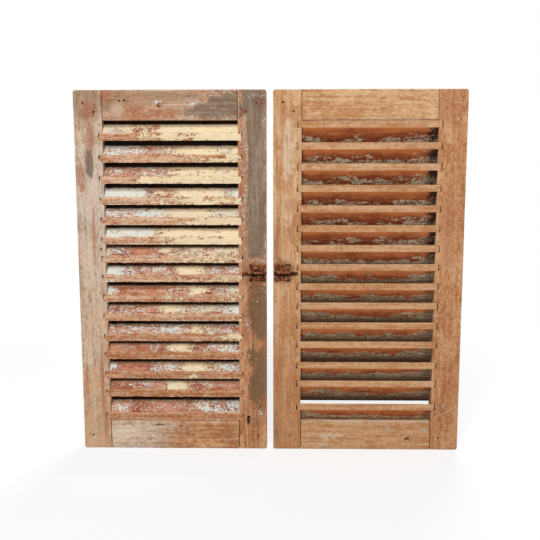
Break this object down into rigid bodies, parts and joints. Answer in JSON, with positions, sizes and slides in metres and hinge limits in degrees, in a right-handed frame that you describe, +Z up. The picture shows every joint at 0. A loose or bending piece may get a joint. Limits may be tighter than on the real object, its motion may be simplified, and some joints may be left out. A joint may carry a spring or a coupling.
{
  "type": "louvred shutters",
  "caption": "Pair of old wooden louvred shutter leaves with fixed sloping slats housed in mortised stiles and a small rusty slide bolt on each meeting stile.",
  "frame": {"origin": "foot of the pair, midway between the two leaves and midway through their thickness", "axes": "+X to the right across the pair, +Z up, the pictured front faces -Y"},
  "size_m": [0.869, 0.0385, 0.82],
  "materials": {
    "left_frame": "weathered wood with remains of grey paint",
    "right_frame": "bare honey-coloured wood",
    "left_slats": "red-brown wood with flaking cream and white paint",
    "right_slats": "bare edges, dark undersides with remains of paint",
    "pins": "rusty",
    "iron": "rusty"
  },
  "bodies": {
    "shutters": {"left_hinge_stile": "left_frame", "left_meeting_stile": "left_frame", "left_top_rail": "left_frame", "left_bottom_rail": "left_frame", "left_slat_01": "left_slats", "left_slat_02": "left_slats", "left_slat_03": "left_slats", "left_slat_04": "left_slats", "left_slat_05": "left_slats", "left_slat_06": "left_slats", "left_slat_07": "left_slats", "left_slat_08": "left_slats", "left_slat_09": "left_slats", "left_slat_10": "left_slats", "left_slat_11": "left_slats", "left_slat_12": "left_slats", "left_slat_13": "left_slats", "left_slat_14": "left_slats", "left_slat_15": "left_slats", "left_joint_pins": "pins", "left_bolt_plate": "iron", "left_bolt_straps": "iron", "left_bolt_screws": "iron", "right_hinge_stile": "right_frame", "right_meeting_stile": "right_frame", "right_top_rail": "right_frame", "right_bottom_rail": "right_frame", "right_slat_01": "right_slats", "right_slat_02": "right_slats", "right_slat_03": "right_slats", "right_slat_04": "right_slats", "right_slat_05": "right_slats", "right_slat_06": "right_slats", "right_slat_07": "right_slats", "right_slat_08": "right_slats", "right_slat_09": "right_slats", "right_slat_10": "right_slats", "right_slat_11": "right_slats", "right_slat_12": "right_slats", "right_slat_13": "right_slats", "right_slat_14": "right_slats", "right_slat_15": "right_slats", "right_joint_pins": "pins", "right_bolt_plate": "iron", "right_bolt_straps": "iron", "right_bolt_screws": "iron"},
    "left_bolt": {"left_bolt_rod": "iron", "left_bolt_knob": "iron"},
    "right_bolt": {"right_bolt_rod": "iron", "right_bolt_knob": "iron"}
  },
  "joints": [
    {"name": "left_bolt_slide", "type": "slide", "parent": "shutters", "child": "left_bolt", "axis": [1, 0, 0], "range_m": [0, 0.008]},
    {"name": "right_bolt_slide", "type": "slide", "parent": "shutters", "child": "right_bolt", "axis": [-1, 0, 0], "range_m": [0, 0.008]}
  ]
}
